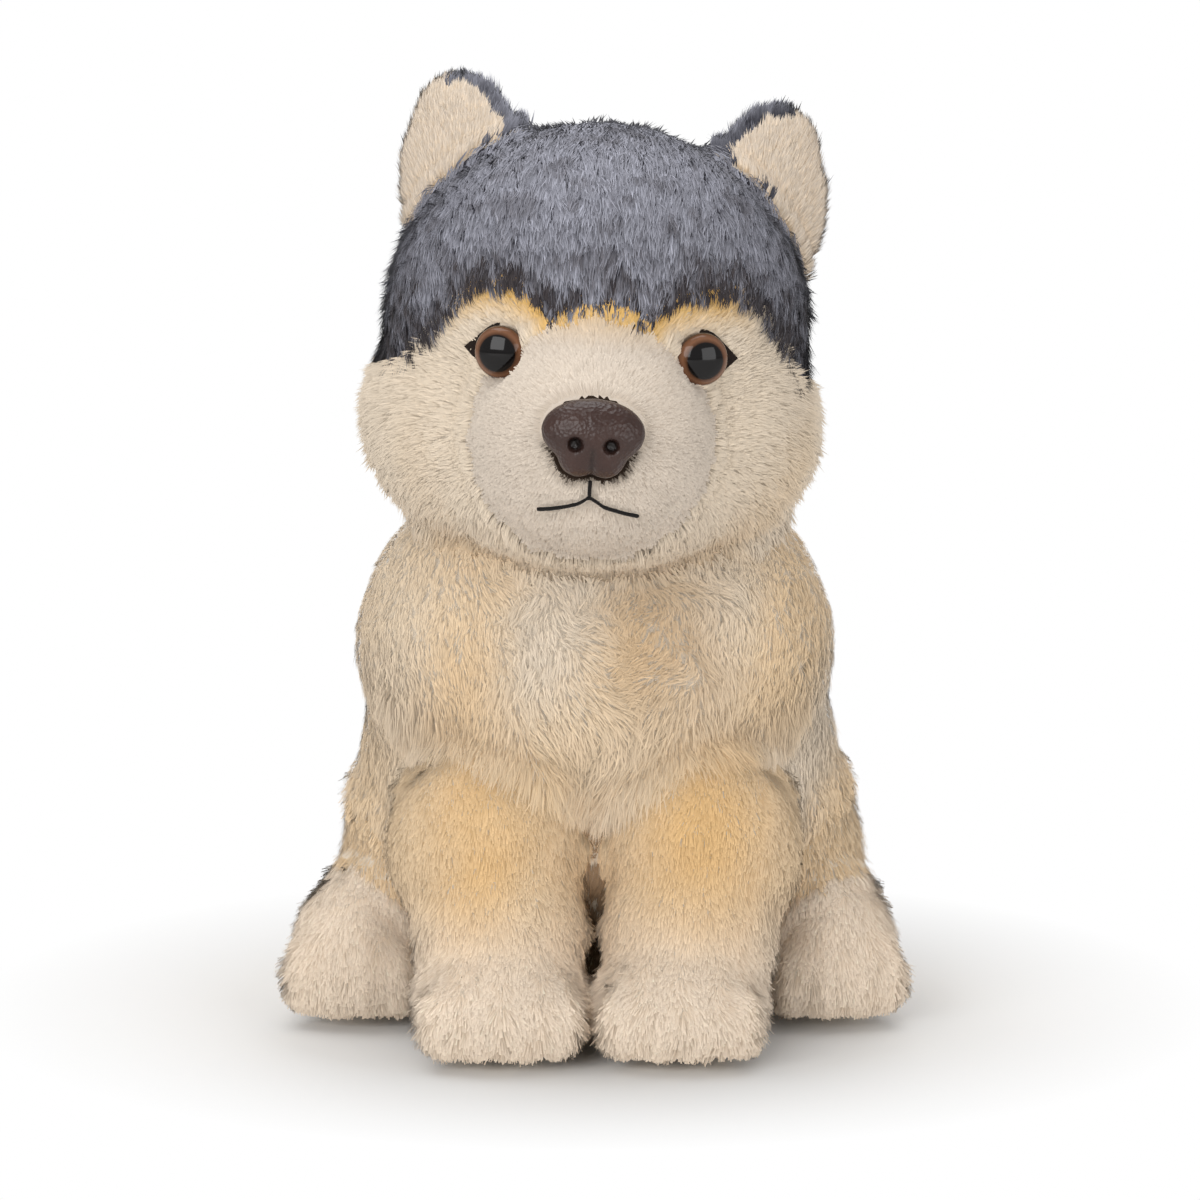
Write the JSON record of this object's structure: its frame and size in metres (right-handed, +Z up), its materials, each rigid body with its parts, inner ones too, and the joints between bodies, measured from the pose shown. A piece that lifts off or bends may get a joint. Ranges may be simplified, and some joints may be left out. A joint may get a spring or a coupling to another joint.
{
  "type": "plush wolf",
  "caption": "Sitting plush wolf pup with a grey tipped crown, a cream body, domed plastic eyes, a moulded nose and a stitched mouth.",
  "frame": {"origin": "on the floor, under the middle of the seat", "axes": "the pup faces -Y, +X is to its own left, +Z is up"},
  "size_m": [0.1498, 0.1779, 0.2245],
  "materials": {
    "plush_cream": "long cream faux-fur pile",
    "plush_pale": "short pale faux-fur pile",
    "plush_grey": "dark faux-fur pile with pale grey tips",
    "fibre_white": "loose polyester filling",
    "plastic_brown": "polished moulding with a black pupil",
    "plastic_nose": "satin moulding, pebbled",
    "plastic_white": "plain moulding",
    "felt_dark": "thin felt",
    "thread_dark": "embroidery thread",
    "thread_brown": "pulled sewing thread"
  },
  "bodies": {
    "root": {"back_cover": "plush_grey", "chest_cover": "plush_cream", "crown_cover": "plush_grey", "ear_left_back": "plush_grey", "ear_left_front": "plush_pale", "ear_right_back": "plush_grey", "ear_right_front": "plush_pale", "eye_left": "plastic_brown", "eye_left_felt": "felt_dark", "eye_left_washer": "plastic_white", "eye_right": "plastic_brown", "eye_right_felt": "felt_dark", "eye_right_washer": "plastic_white", "face_cover": "plush_cream", "foreleg_left_cover": "plush_cream", "foreleg_left_filling": "fibre_white", "foreleg_left_toe_thread_1": "thread_brown", "foreleg_left_toe_thread_2": "thread_brown", "foreleg_left_toe_thread_3": "thread_brown", "foreleg_right_cover": "plush_cream", "foreleg_right_filling": "fibre_white", "foreleg_right_toe_thread_1": "thread_brown", "foreleg_right_toe_thread_2": "thread_brown", "foreleg_right_toe_thread_3": "thread_brown", "haunch_left_cover": "plush_cream", "haunch_left_filling": "fibre_white", "haunch_right_cover": "plush_cream", "haunch_right_filling": "fibre_white", "head_filling": "fibre_white", "hind_foot_left_cover": "plush_cream", "hind_foot_left_filling": "fibre_white", "hind_foot_left_toe_thread_1": "thread_brown", "hind_foot_left_toe_thread_2": "thread_brown", "hind_foot_left_toe_thread_3": "thread_brown", "hind_foot_right_cover": "plush_cream", "hind_foot_right_filling": "fibre_white", "hind_foot_right_toe_thread_1": "thread_brown", "hind_foot_right_toe_thread_2": "thread_brown", "hind_foot_right_toe_thread_3": "thread_brown", "mouth_thread_middle": "thread_dark", "mouth_thread_wide": "thread_dark", "muzzle_cover": "plush_pale", "muzzle_filling": "fibre_white", "nose": "plastic_nose", "nose_washer": "plastic_white", "tail_cover": "plush_grey", "tail_filling": "fibre_white", "torso_filling": "fibre_white"}
  },
  "joints": []
}
